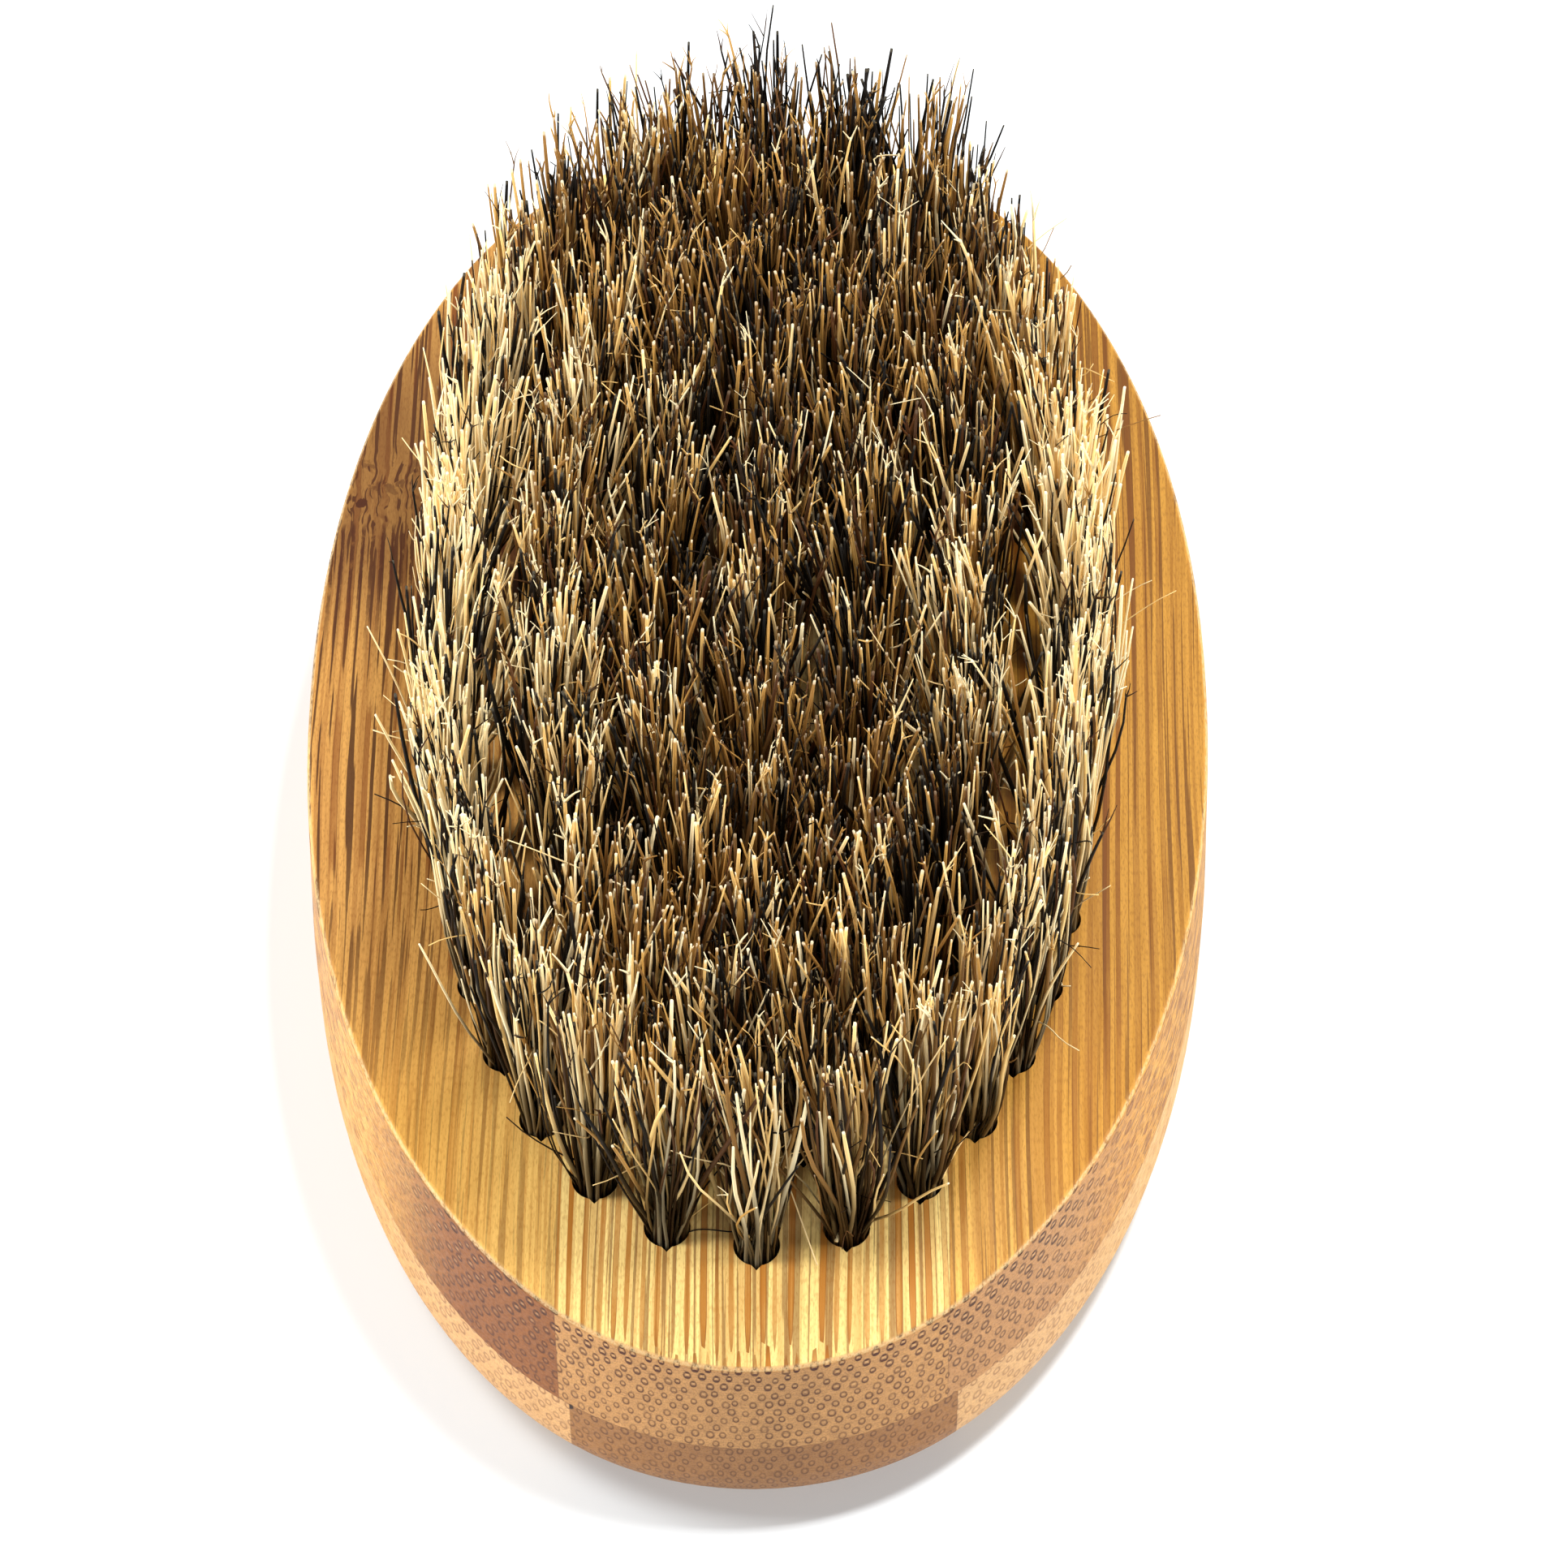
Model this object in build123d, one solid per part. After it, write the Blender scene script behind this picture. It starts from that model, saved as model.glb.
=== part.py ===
from build123d import *
import math
import os

# Oval palm brush for a beard, lying on its back with the bristles up.
# The origin is at the middle of the flat underside, +Z is up through the bristles,
# +Y runs along the length and X across the width. Millimetres.

# Wooden block: two layers of three bamboo strips each, glued face to face.
LENGTH = 115.0
WIDTH = 64.0
THICKNESS = 20.0
OVAL_POWER = 2.12            # 2 would be an ellipse; slightly fuller at the shoulders
GLUE_LINE_Z = 9.5            # height of the face where the two layers meet
BELLY = 0.4                  # how far the side stands out at the glue line
UNDERSIDE_RADIUS = 5.3
EDGE_RADIUS = 0.4            # sanded edge round the bristle face
CROWN_START = 42.0           # the bristle face is flat up to here, then falls away
CROWN_DROP = 1.8             # fall at each end
ROCKER_START = 25.0          # the underside is flat up to here, then rises
ROCKER_RISE = 1.2
UPPER_SEAMS = (-12.8, 13.1)  # X of the joints between strips
LOWER_SEAMS = (-12.1, 13.8)

# Drilled pattern: three ovals of holes round one middle row.
PATTERN_X = 0.4
PATTERN_Y = -3.0
OUTER_RING_WIDTH = 44.2
OUTER_RING_LENGTH = 91.2
RING_STEP = 7.3              # distance from one ring to the next
RING_COUNTS = (36, 28, 20)
RING_SHIFTS = (0, 0.5, 0)    # start of each ring, in steps past the -Y end
RING_SIDES = {
    "outer_ring": ("front_right", "rear_right", "rear_left", "front_left"),
    "middle_ring": ("right", "left"),
    "inner_ring": ("right", "left"),
}
ROW_COUNT = 8
ROW_PITCH = 6.1

# One hole with its tuft and anchor.
HOLE_DIAMETER = 3.1
HOLE_DEPTH = 7.5
FIT = 0.05                   # radial room round the tuft
TIP_HEIGHT = 19.8            # bristle tips above the flat part of the face
TIP_DIAMETER = 5.7
ANCHOR_THICKNESS = 0.4
ANCHOR_WIDTH = 3.2
ANCHOR_HEIGHT = 2.0
ANCHOR_LIFT = 0.6            # thickness of the bristle fold under the anchor
NOTCH_WIDTH = 0.8            # pointed notches that the anchor cuts into the wall of the hole
NOTCH_REACH = 1.9            # from the hole's axis to the point of a notch

HOLE_BOTTOM = THICKNESS - HOLE_DEPTH
ANCHOR_BOTTOM = HOLE_BOTTOM + ANCHOR_LIFT
CLEAR = 5.0                  # how far cutters reach past the block
CUT_OVERLAP = 0.05           # how far the notches start inside the hole's wall
STEEP = 0.8                  # a face whose normal is steeper than this looks up or down


def oval_point(half_width, half_length, angle):
    """Point of a superellipse in the direction of an angle from +X."""
    x_share = abs(math.cos(angle) / half_width) ** OVAL_POWER
    y_share = abs(math.sin(angle) / half_length) ** OVAL_POWER
    radius = (x_share + y_share) ** (-1 / OVAL_POWER)
    return radius * math.cos(angle), radius * math.sin(angle)


def oval_face(half_width, half_length, z):
    steps = 32
    points = [
        (*oval_point(half_width, half_length, 2 * math.pi * i / steps), z)
        for i in range(steps)
    ]
    return Face(Wire([Spline(*points, periodic=True)]))


def side_view():
    """Outline of the block seen along X: falling ends on top, rising ends below."""
    end = LENGTH / 2 + CLEAR
    reach = (end - CROWN_START) / (LENGTH / 2 - CROWN_START)
    top_end = THICKNESS - CROWN_DROP * reach**2
    reach = (end - ROCKER_START) / (LENGTH / 2 - ROCKER_START)
    bottom_end = ROCKER_RISE * reach**2
    right_top = TangentArc((CROWN_START, THICKNESS), (end, top_end), tangent=(1, 0))
    right_bottom = TangentArc((ROCKER_START, 0), (end, bottom_end), tangent=(1, 0))
    outline = [
        Line((-CROWN_START, THICKNESS), (CROWN_START, THICKNESS)),
        right_top,
        Line((end, top_end), (end, bottom_end)),
        right_bottom,
        Line((ROCKER_START, 0), (-ROCKER_START, 0)),
        mirror(right_bottom, Plane.YZ),
        Line((-end, bottom_end), (-end, top_end)),
        mirror(right_top, Plane.YZ),
    ]
    return make_face(Curve() + outline)


def edges_between(faces, others):
    return [e for e in faces.edges() if any(e.is_same(other) for other in others.edges())]


def whole_block():
    """The glued block after shaping and sanding, before drilling."""
    half_width = WIDTH / 2
    half_length = LENGTH / 2
    middle = oval_face(half_width + BELLY, half_length + BELLY, GLUE_LINE_Z)
    top = oval_face(half_width, half_length, THICKNESS)
    upper = loft([middle, top], ruled=True)
    lower = extrude(middle, GLUE_LINE_Z, dir=(0, 0, -1))
    block = (upper + lower) & extrude(Plane.YZ * side_view(), WIDTH, both=True)
    wall = block.faces().filter_by(lambda face: abs(face.normal_at().Z) < STEEP)
    underside = block.faces().filter_by(lambda face: face.normal_at().Z < -STEEP)
    block = fillet(edges_between(underside, wall), UNDERSIDE_RADIUS)
    wall = block.faces().filter_by(lambda face: abs(face.normal_at().Z) < STEEP)
    bristle_face = block.faces().filter_by(lambda face: face.normal_at().Z > STEEP)
    return fillet(edges_between(bristle_face, wall), EDGE_RADIUS)


def strips(block):
    """The six bamboo strips, cut from the block at the seams and the glue line."""
    layers = {
        "lower": (LOWER_SEAMS, 0, GLUE_LINE_Z),
        "upper": (UPPER_SEAMS, GLUE_LINE_Z, THICKNESS),
    }
    edge = WIDTH / 2 + CLEAR
    pieces = {}
    for layer, (seams, bottom, top) in layers.items():
        sides = (-edge, *seams, edge)
        for place, left, right in zip(("left", "centre", "right"), sides, sides[1:]):
            blank = Box(right - left, LENGTH + CLEAR, top - bottom)
            middle = Pos((left + right) / 2, 0, (bottom + top) / 2)
            pieces[f"{layer}_{place}_strip"] = block & (middle * blank)
    return pieces


def ring_places(half_width, half_length, count, shift):
    """Evenly spaced points along an oval, from its -Y end round through +X."""
    steps = 2880
    outline = [
        oval_point(half_width, half_length, 2 * math.pi * i / steps - math.pi / 2)
        for i in range(steps + 1)
    ]
    travelled = [0.0]
    for here, there in zip(outline, outline[1:]):
        travelled.append(travelled[-1] + math.dist(here, there))
    places = []
    for i in range(count):
        target = travelled[-1] * (i + shift) / count
        nearest = min(range(steps), key=lambda k: abs(travelled[k] - target))
        places.append(outline[nearest])
    return places


def tuft_groups():
    """X and Y of every tuft, by the name of its group."""
    groups = {}
    for level, (ring, sides) in enumerate(RING_SIDES.items()):
        half_width = OUTER_RING_WIDTH / 2 - level * RING_STEP
        half_length = OUTER_RING_LENGTH / 2 - level * RING_STEP
        shift = RING_SHIFTS[level]
        places = ring_places(half_width, half_length, RING_COUNTS[level], shift)
        share = len(places) // len(sides)
        for i, side in enumerate(sides):
            groups[f"{ring}_{side}"] = places[i * share:(i + 1) * share]
    first = -ROW_PITCH * (ROW_COUNT - 1) / 2
    groups["middle_row"] = [(0, first + i * ROW_PITCH) for i in range(ROW_COUNT)]
    return {
        name: [(PATTERN_X + x, PATTERN_Y + y) for x, y in places]
        for name, places in groups.items()
    }


def hole():
    """Drilled hole, with the two notches that the anchor cuts on its way down."""
    depth = HOLE_DEPTH + CLEAR
    drill = Pos(0, 0, HOLE_BOTTOM + depth / 2) * Cylinder(HOLE_DIAMETER / 2, depth)
    side = NOTCH_WIDTH / 2
    base = math.sqrt(HOLE_DIAMETER**2 / 4 - side**2) - CUT_OVERLAP
    outline = Polyline(
        (side, -base),
        (side, base),
        (0, NOTCH_REACH),
        (-side, base),
        (-side, -base),
        (0, -NOTCH_REACH),
        close=True,
    )
    start = Plane.XY.offset(ANCHOR_BOTTOM)
    notches = extrude(start * make_face(outline), THICKNESS + CLEAR - ANCHOR_BOTTOM)
    return drill + notches


def anchor():
    """Flat metal strip, standing on edge along Y, that pins the folded tuft."""
    middle = Pos(0, 0, ANCHOR_BOTTOM + ANCHOR_HEIGHT / 2)
    return middle * Box(ANCHOR_THICKNESS, ANCHOR_WIDTH, ANCHOR_HEIGHT)


def tuft():
    """Bundle folded under its anchor: a plug in the hole, then a widening head."""
    root = HOLE_DIAMETER / 2 - FIT
    tip = TIP_DIAMETER / 2
    tip_z = THICKNESS + TIP_HEIGHT
    outline = Polyline(
        (0, HOLE_BOTTOM),
        (root, HOLE_BOTTOM),
        (root, THICKNESS),
        (tip, tip_z),
        (0, tip_z),
        close=True,
    )
    return revolve(Plane.XZ * make_face(outline), Axis.Z) - anchor()


def copies(shape, places):
    return [Pos(x, y, 0) * shape for x, y in places]


def main():
    os.makedirs("parts", exist_ok=True)
    groups = tuft_groups()
    holes = copies(hole(), sum(groups.values(), []))
    for name, strip in strips(whole_block()).items():
        if name.startswith("upper"):
            box = strip.bounding_box()
            reach = ANCHOR_WIDTH / 2
            near = [
                h for h in holes
                if box.min.X - reach < h.center().X < box.max.X + reach
            ]
            strip = strip - near
        export_step(strip, f"parts/{name}.step")
    for name, places in groups.items():
        tufts = Compound(children=copies(tuft(), places))
        anchors = Compound(children=copies(anchor(), places))
        export_step(tufts, f"parts/{name}_tufts.step")
        export_step(anchors, f"parts/{name}_anchors.step")


main()
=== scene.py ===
import math

import bmesh
import bpy
import numpy as np
from mathutils import Matrix, Vector


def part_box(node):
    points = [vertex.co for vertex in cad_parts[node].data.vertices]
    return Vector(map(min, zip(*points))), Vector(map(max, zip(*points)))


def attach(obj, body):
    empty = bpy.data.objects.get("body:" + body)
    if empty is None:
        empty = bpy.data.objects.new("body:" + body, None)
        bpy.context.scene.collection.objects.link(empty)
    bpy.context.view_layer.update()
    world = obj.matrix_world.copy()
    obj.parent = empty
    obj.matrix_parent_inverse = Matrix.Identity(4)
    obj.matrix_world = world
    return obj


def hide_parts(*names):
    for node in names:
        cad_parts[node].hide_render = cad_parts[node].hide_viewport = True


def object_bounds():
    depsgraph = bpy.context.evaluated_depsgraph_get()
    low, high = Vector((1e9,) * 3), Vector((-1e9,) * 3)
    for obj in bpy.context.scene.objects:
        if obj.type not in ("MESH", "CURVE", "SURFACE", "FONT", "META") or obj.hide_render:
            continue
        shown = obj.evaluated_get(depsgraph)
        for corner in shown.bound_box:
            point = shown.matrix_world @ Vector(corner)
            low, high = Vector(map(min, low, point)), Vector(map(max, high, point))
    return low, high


# Looks for the oval beard brush: bamboo on the block, brushed metal on the anchors, and
# real bristles in place of the plain tufts. Lengths are in metres; MM turns millimetres into them.

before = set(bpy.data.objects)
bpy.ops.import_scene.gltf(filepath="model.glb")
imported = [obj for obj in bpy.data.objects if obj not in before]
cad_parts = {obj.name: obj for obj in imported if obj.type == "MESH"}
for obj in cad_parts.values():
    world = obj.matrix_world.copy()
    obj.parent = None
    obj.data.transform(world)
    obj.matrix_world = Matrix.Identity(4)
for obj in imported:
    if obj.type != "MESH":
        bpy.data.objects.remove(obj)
cad_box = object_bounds()
MM = 0.001

# Camera, aimed at about the middle of the brush.
LENS = 126.5                      # mm, on the default 36 mm sensor
VIEW_ELEVATION = math.radians(50.0)
VIEW_TURN = math.radians(-0.69)   # round the brush, from straight in front
VIEW_ROLL = math.radians(-0.34)
VIEW_DISTANCE = 393.8 * MM
VIEW_TARGET = Vector((1.86, -5.42, 15.44)) * MM

# Bristles, in millimetres.
SEED = 7
HAIRS_PER_TUFT = 46               # each is folded under the anchor, so it has two ends
FINE_HAIRS_PER_TUFT = 9
LOCKS_PER_TUFT = 7
HAIR_SIDES = 5
ROOT_RADIUS = 1.34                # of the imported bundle, in its hole
ROOT_SCATTER = 0.03
THICK = (0.25, 0.4)               # range of thickness of the thick hairs
THIN = (0.13, 0.25)
THICK_SHARE = 0.35
FLARE = 1.8                       # how far an outside bristle of a tuft leans out by its tip
EDGE_FLARE = 0.45                 # share of that where it leans away from the middle of the brush
TUFT_LEAN = 0.4                   # scatter of a whole tuft's tips, and of one hair's in it
HAIR_LEAN = 0.8
BENT_SHARE = 0.38                 # hairs that lean their own way, and by how much
BENT_LEAN = 2.3
BOW = 0.45                        # scatter of a hair's bow, and of its S-shaped wave
WAVE = 0.16
ASTRAY_SHARE = 0.3                # hairs that follow a lock on some other side of the tuft
FOLD_DROP = 0.3                   # middle of the fold below the anchor
BESIDE_ANCHOR = 0.42              # from the middle of the anchor to a hair that runs down past it
TIP_RISE = 0.5                    # longest tips above the tops of the plain tufts
TIP_SCATTER = 1.5
SHORT_SHARE = 0.25                # hairs that end well below the others, and by how much
SHORT_LOSS = (0.5, 8.0)
SPLIT_SHARE = 0.16                # cut tips that fan out into thin ends
SPLIT_LENGTH = (0.6, 2.0)
FINE_LENGTH = (2.0, 5.0)
FINE_RADII = (0.06, 0.035)        # at the two ends of a thin curly hair
FINE_POINTS = 7
MAP_ROWS = 8                      # rows of the map in which each hair has its own strip
SIDE_MARGIN = 0.25                # shares of a strip left empty at each side and at each end
END_MARGIN = 0.05

# Hairs that have come loose at the front, by group: the tuft's place in it along X, thickness,
# shade, and points from the middle of the tuft's hole.
STRAY_POINTS = 10
STRAYS = {
    "outer_ring_front_left_tufts": (
        (-1, 0.10, 0.05, ((1.4, -0.6, 0.05), (2.4, -0.3, 0.3), (3.3, -0.6, 0.15), (4.3, -0.6, 0.1))),
        (-1, 0.07, 0.85, ((0.2, -0.8, 0.2), (2.6, -0.1, 2.3), (5.3, 1.3, 4.2), (8.2, 2.4, 6.2))),
    ),
    "outer_ring_front_right_tufts": (
        (0, 0.11, 0.92, ((2.1, 1.3, 4.6), (2.7, 0.6, 3.0), (3.3, -0.6, 1.4), (4.0, -1.9, 0.1))),
        (1, 0.28, 0.95, ((-0.7, -1.4, 0.15), (-0.6, -1.0, 0.3), (-0.2, -0.3, 0.5), (0.2, 0.2, 1.0))),
        (3, 0.12, 0.88, ((0.5, -0.3, 1.0), (-0.6, -1.6, 0.8), (-1.6, -3.2, 0.5), (-2.2, -4.9, 0.1))),
    ),
}

# Bamboo, in millimetres. Each fibre bundle shows on end grain as a dark ring, heavier above
# and below, round a lighter heart, and as a stripe along the grain.
BUNDLE_PITCH_X = 0.97
BUNDLE_PITCH_Z = 0.9
BUNDLE_JITTER = 0.3               # share of a cell
BUNDLE_HALF_WIDTH = 0.2
BUNDLE_HALF_HEIGHT = 0.3
STRIPE_HALF_WIDTH = 0.2           # of the section that a bundle's stripe is cut from
STRIPE_HALF_HEIGHT = 0.5
STRIPE_POWER = 1.5                # 2 would make that section an ellipse
FIRST_ROW = 0.12                  # depth of the first row of bundles under the bristle face
SIDE_DRIFT = 2.6                  # how far the bundles wander, neighbours together
HEIGHT_DRIFT = 0.25
CROWN_START = 42.0                # the fibres follow the block's crown from here
CROWN_DROP = 1.8
ROLL_OFF = 7.5                    # last stretch, where the sanded face cuts down through them
ROLL_OFF_DROP = 0.9
GLUE_LINE = 0.07
KNOT_X = -29.4
KNOT_Y = 17.6
KNOT_REACH = 6.5                  # how far from it the fibres swirl, and how far they move
KNOT_PULL = 2.2
KNOT_LIFT = 1.6

# Studio: area lights with their place and size in metres, and their watts. Two light only the
# floor, for the shadow under the brush's front, and the others only the brush.
FLOOR_LIGHTS = {
    "floor_right": ((0.22, 0.01, 0.95), (0.12, 0.12), 10.3),
    "floor_left": ((-0.4, 0.01, 0.85), (0.4, 0.4), 7.0),
}
BRUSH_LIGHTS = {
    "overhead": ((0.27, 0.33, 0.95), (0.3, 0.3), 6.2),
    "left_strip": ((-0.66, -0.1, 0.36), (0.2, 0.6), 7.6),
    "right_strip": ((0.64, -0.06, 0.4), (0.2, 0.6), 5.2),
}
FRONT_FILL = ((0.22, -0.45, 0.5), (0.3, 0.25), 1.0)
MIDDLE = Vector((0, 0, 15 * MM))  # what the lights are aimed at, apart from the front fill
FRONT = Vector((0, -50 * MM, 15 * MM))
WHITE = (1, 1, 1, 1)
WORLD_STRENGTH = 0.2
PAPER_GLOW = 0.36                 # emission that brings the floor up to plain white
FLOOR_HALF = 4.0                  # metres from the middle of the floor to its edges


def tone(code):
    """Linear colour of a hexadecimal sRGB one."""
    values = [int(code[i:i + 2], 16) / 255 for i in (0, 2, 4)]
    linear = [v / 12.92 if v <= 0.04045 else ((v + 0.055) / 1.055) ** 2.4 for v in values]
    return (*linear, 1.0)


class Shader:
    """A node material, and short ways to add nodes to it. A socket given as a value is linked."""

    def __init__(self, name):
        self.material = bpy.data.materials.new(name)
        self.material.use_nodes = True
        self.tree = self.material.node_tree
        self.surface = self.tree.nodes["Principled BSDF"]

    def put(self, socket, value):
        if isinstance(value, bpy.types.NodeSocket):
            self.tree.links.new(value, socket)
        else:
            socket.default_value = value

    def node(self, kind, settings=None, **inputs):
        made = self.tree.nodes.new("ShaderNode" + kind)
        for key, value in (settings or {}).items():
            setattr(made, key, value)
        for key, value in inputs.items():
            self.put(made.inputs[key.replace("_", " ")], value)
        return made

    def math(self, operation, *values):
        made = self.node("Math", {"operation": operation})
        for socket, value in zip(made.inputs, values):
            self.put(socket, value)
        return made.outputs[0]

    def times(self, first, *others):
        for other in others:
            first = self.math("MULTIPLY", first, other)
        return first

    def most(self, first, *others):
        for other in others:
            first = self.math("MAXIMUM", first, other)
        return first

    def moved(self, value, noise, reach):
        """The value, moved by up to half of reach either way as the noise goes from 0 to 1."""
        return self.math("MULTIPLY_ADD", self.math("SUBTRACT", noise, 0.5), reach, value)

    def join(self, x, y, z):
        return self.node("CombineXYZ", X=x, Y=y, Z=z).outputs[0]

    def split(self, vector):
        return self.node("SeparateXYZ", Vector=vector).outputs

    def millimetres(self):
        """Place on the object, in millimetres, as a vector."""
        place = self.node("TexCoord").outputs["Object"]
        return self.node("VectorMath", {"operation": "SCALE"}, Vector=place, Scale=1 / MM).outputs[0]

    def span(self, value, start, end, low=0.0, high=1.0):
        """Smooth step from low to high as value goes from start to end."""
        made = self.node("MapRange", {"interpolation_type": "SMOOTHSTEP"})
        for socket, number in zip(made.inputs, (value, start, end, low, high)):
            self.put(socket, number)
        return made.outputs[0]

    def bump_at(self, value, middle, half):
        """1 where value is at middle, falling smoothly to 0 at half away from it."""
        away = self.math("ABSOLUTE", self.math("SUBTRACT", value, middle))
        return self.span(away, 0.0, half, 1.0, 0.0)

    def square_past(self, value, start, reach, rise):
        """0 up to start, then growing as a square to rise at reach past it."""
        past = self.math("MAXIMUM", self.math("SUBTRACT", value, start), 0.0)
        return self.times(past, past, rise / reach**2)

    def mix(self, share, first, second):
        made = self.node("Mix", {"data_type": "RGBA"})
        self.put(made.inputs[0], share)
        self.put(made.inputs[6], first)
        self.put(made.inputs[7], second)
        return made.outputs[2]

    def noise(self, vector, detail=2.0, rough=0.5):
        made = self.node("TexNoise", Vector=vector, Scale=1.0, Detail=detail, Roughness=rough)
        return made.outputs

    def cloud(self, place, rates, detail=2.0, rough=0.5, seed=0.0):
        """Noise with its own number of changes per millimetre along each axis."""
        x, y, z = place
        stretched = self.join(self.math("MULTIPLY_ADD", x, rates[0], seed),
                              self.times(y, rates[1]), self.times(z, rates[2]))
        return self.noise(stretched, detail, rough)

    def bumped(self, height, distance, strength=1.0):
        made = self.node("Bump", Height=height, Distance=distance, Strength=strength)
        self.put(self.surface.inputs["Normal"], made.outputs[0])


# ---------------------------------------------------------------- bamboo

def lower_look(along, across, stripe, line, mark, marked, seed, tilt):
    """A lower strip: the same from end to end, with few and faint bundles."""
    return dict(
        along=along, front=along, seam=along, across=across, stripe=stripe, front_stripe=stripe,
        line=line, mark=mark, marked=marked, front_marked=1.0, sparse=0.3, broken=0.3, streaky=0.4,
        short=0.03, seed=seed, tilt=tilt, knot=False)


# Colours: along and across the grain, of the stripes along it, of the thin lines and of the ringed
# marks. Towards the -Y end the first goes to front, or to seam next to the centre strip, and the
# third to front_stripe. Shares: marked is how strongly the stripes are drawn, front_marked how much
# of that is left at the -Y end, sparse how many are left out, broken how much they come and go, and
# streaky how dark the loose streaks are. Those change short times per millimetre along the
# grain, and tilt is the slope of the fibres.
STRIPS = {
    "upper_left_strip": dict(
        along="dca354", front="eab154", seam="f9cc72", across="925829", stripe="83430f",
        front_stripe="b06c1c", line="4a2408", mark="47230f", marked=0.85, front_marked=0.4,
        sparse=0.2, broken=0.85, streaky=0.9, short=0.05, seed=3.0, tilt=0.010, knot=True),
    "upper_centre_strip": dict(
        along="ffdc8e", front="ffdf8c", seam="ffdf8c", across="cc965a", stripe="b06c1c",
        front_stripe="b06c1c", line="713c0c", mark="4a1e08", marked=0.95, front_marked=1.0,
        sparse=0.0, broken=0.15, streaky=0.65, short=0.012, seed=11.0, tilt=-0.004, knot=False),
    "upper_right_strip": dict(
        along="d2983a", front="dc9d3a", seam="f4be60", across="c28d58", stripe="7d440a",
        front_stripe="9c5c14", line="643709", mark="4a2610", marked=0.85, front_marked=0.8,
        sparse=0.1, broken=0.3, streaky=0.75, short=0.02, seed=23.0, tilt=-0.012, knot=False),
    "lower_left_strip": lower_look("d9a65e", "dcaa70", "b27b35", "8a5a28", "7a4c2c", 0.7, 31.0, 0.006),
    "lower_centre_strip": lower_look("bd8650", "a5723f", "8f5a28", "6a4020", "4c2612", 0.7, 43.0, 0.0),
    "lower_right_strip": lower_look("ddb070", "dcad75", "bb8440", "8f6030", "875a36", 0.6, 53.0, -0.006),
}


def strips_box():
    """Lowest and highest corner of the wooden block."""
    boxes = [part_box(node) for node in STRIPS]
    low = Vector([min(box[0][i] for box in boxes) for i in range(3)])
    high = Vector([max(box[1][i] for box in boxes) for i in range(3)])
    return low, high


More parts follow.
